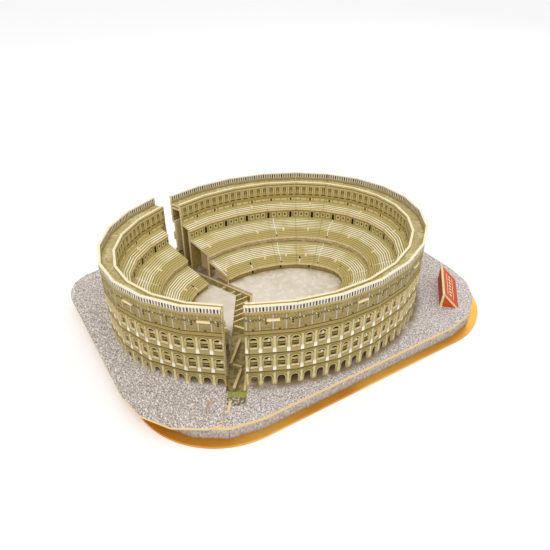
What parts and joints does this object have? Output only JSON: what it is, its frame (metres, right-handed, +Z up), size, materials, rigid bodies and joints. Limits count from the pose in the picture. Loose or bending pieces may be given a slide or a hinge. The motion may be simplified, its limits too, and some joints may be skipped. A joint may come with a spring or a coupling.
{
  "type": "miniature landmark model",
  "caption": "Oval amphitheatre model of printed foam board on a boxed base, with one wedge-cut section that slides to open or close.",
  "frame": {"origin": "centre of the gold plate's underside, on the table", "axes": "+X along the long front edge towards the sign, +Y to the back, +Z up"},
  "size_m": [0.4035, 0.296, 0.105],
  "materials": {
    "gold_card": "gold foil laminated card, satin",
    "stone_print": "printed foam board, matt",
    "paving_print": "printed foam board, matt",
    "sand_print": "printed foam board, matt",
    "red_print": "printed foam board, matt",
    "soil_print": "printed foam board, matt",
    "board_edge": "foam board with tan edges, matt",
    "seat_print": "printed foam board, matt",
    "facade_print": "printed foam board, matt",
    "lining_print": "printed foam board, matt",
    "roof_print": "printed foam board, matt",
    "inner_wall_print": "printed foam board, matt"
  },
  "bodies": {
    "fixed_section": {"gold_plate": "gold_card", "base_skirt": "stone_print", "base_ribs": "board_edge", "paving": "paving_print", "pit_floor": "soil_print", "pit_boundary_wall": "board_edge", "pit_zigzag_walls": "board_edge", "pit_slats": "board_edge", "locating_tab": "board_edge", "arena_floor": "sand_print", "sign_front": "red_print", "sign_back": "red_print", "sign_ends": "red_print", "fixed_outer_wall": "facade_print", "fixed_arcade_lining": "lining_print", "fixed_attic_floor": "board_edge", "fixed_roof": "roof_print", "fixed_colonnade_wall": "inner_wall_print", "fixed_upper_bank": "seat_print", "fixed_door_wall": "inner_wall_print", "fixed_middle_bank": "seat_print", "fixed_band_wall": "inner_wall_print", "fixed_lower_bank": "seat_print", "fixed_podium_wall": "inner_wall_print", "fixed_outer_ribs": "board_edge", "fixed_middle_ribs": "board_edge", "fixed_inner_ribs": "board_edge"},
    "sliding_section": {"sliding_deck": "paving_print", "sliding_outer_wall": "facade_print", "sliding_arcade_lining": "lining_print", "sliding_attic_floor": "board_edge", "sliding_roof": "roof_print", "sliding_colonnade_wall": "inner_wall_print", "sliding_upper_bank": "seat_print", "sliding_door_wall": "inner_wall_print", "sliding_middle_bank": "seat_print", "sliding_band_wall": "inner_wall_print", "sliding_lower_bank": "seat_print", "sliding_podium_wall": "inner_wall_print", "sliding_outer_ribs": "board_edge", "sliding_middle_ribs": "board_edge", "sliding_inner_ribs": "board_edge", "gate_rib": "board_edge"}
  },
  "joints": [
    {"name": "section_slide", "type": "slide", "parent": "fixed_section", "child": "sliding_section", "axis": [0.9245, -0.3811, 0], "range_m": [0, 0.0174]}
  ]
}
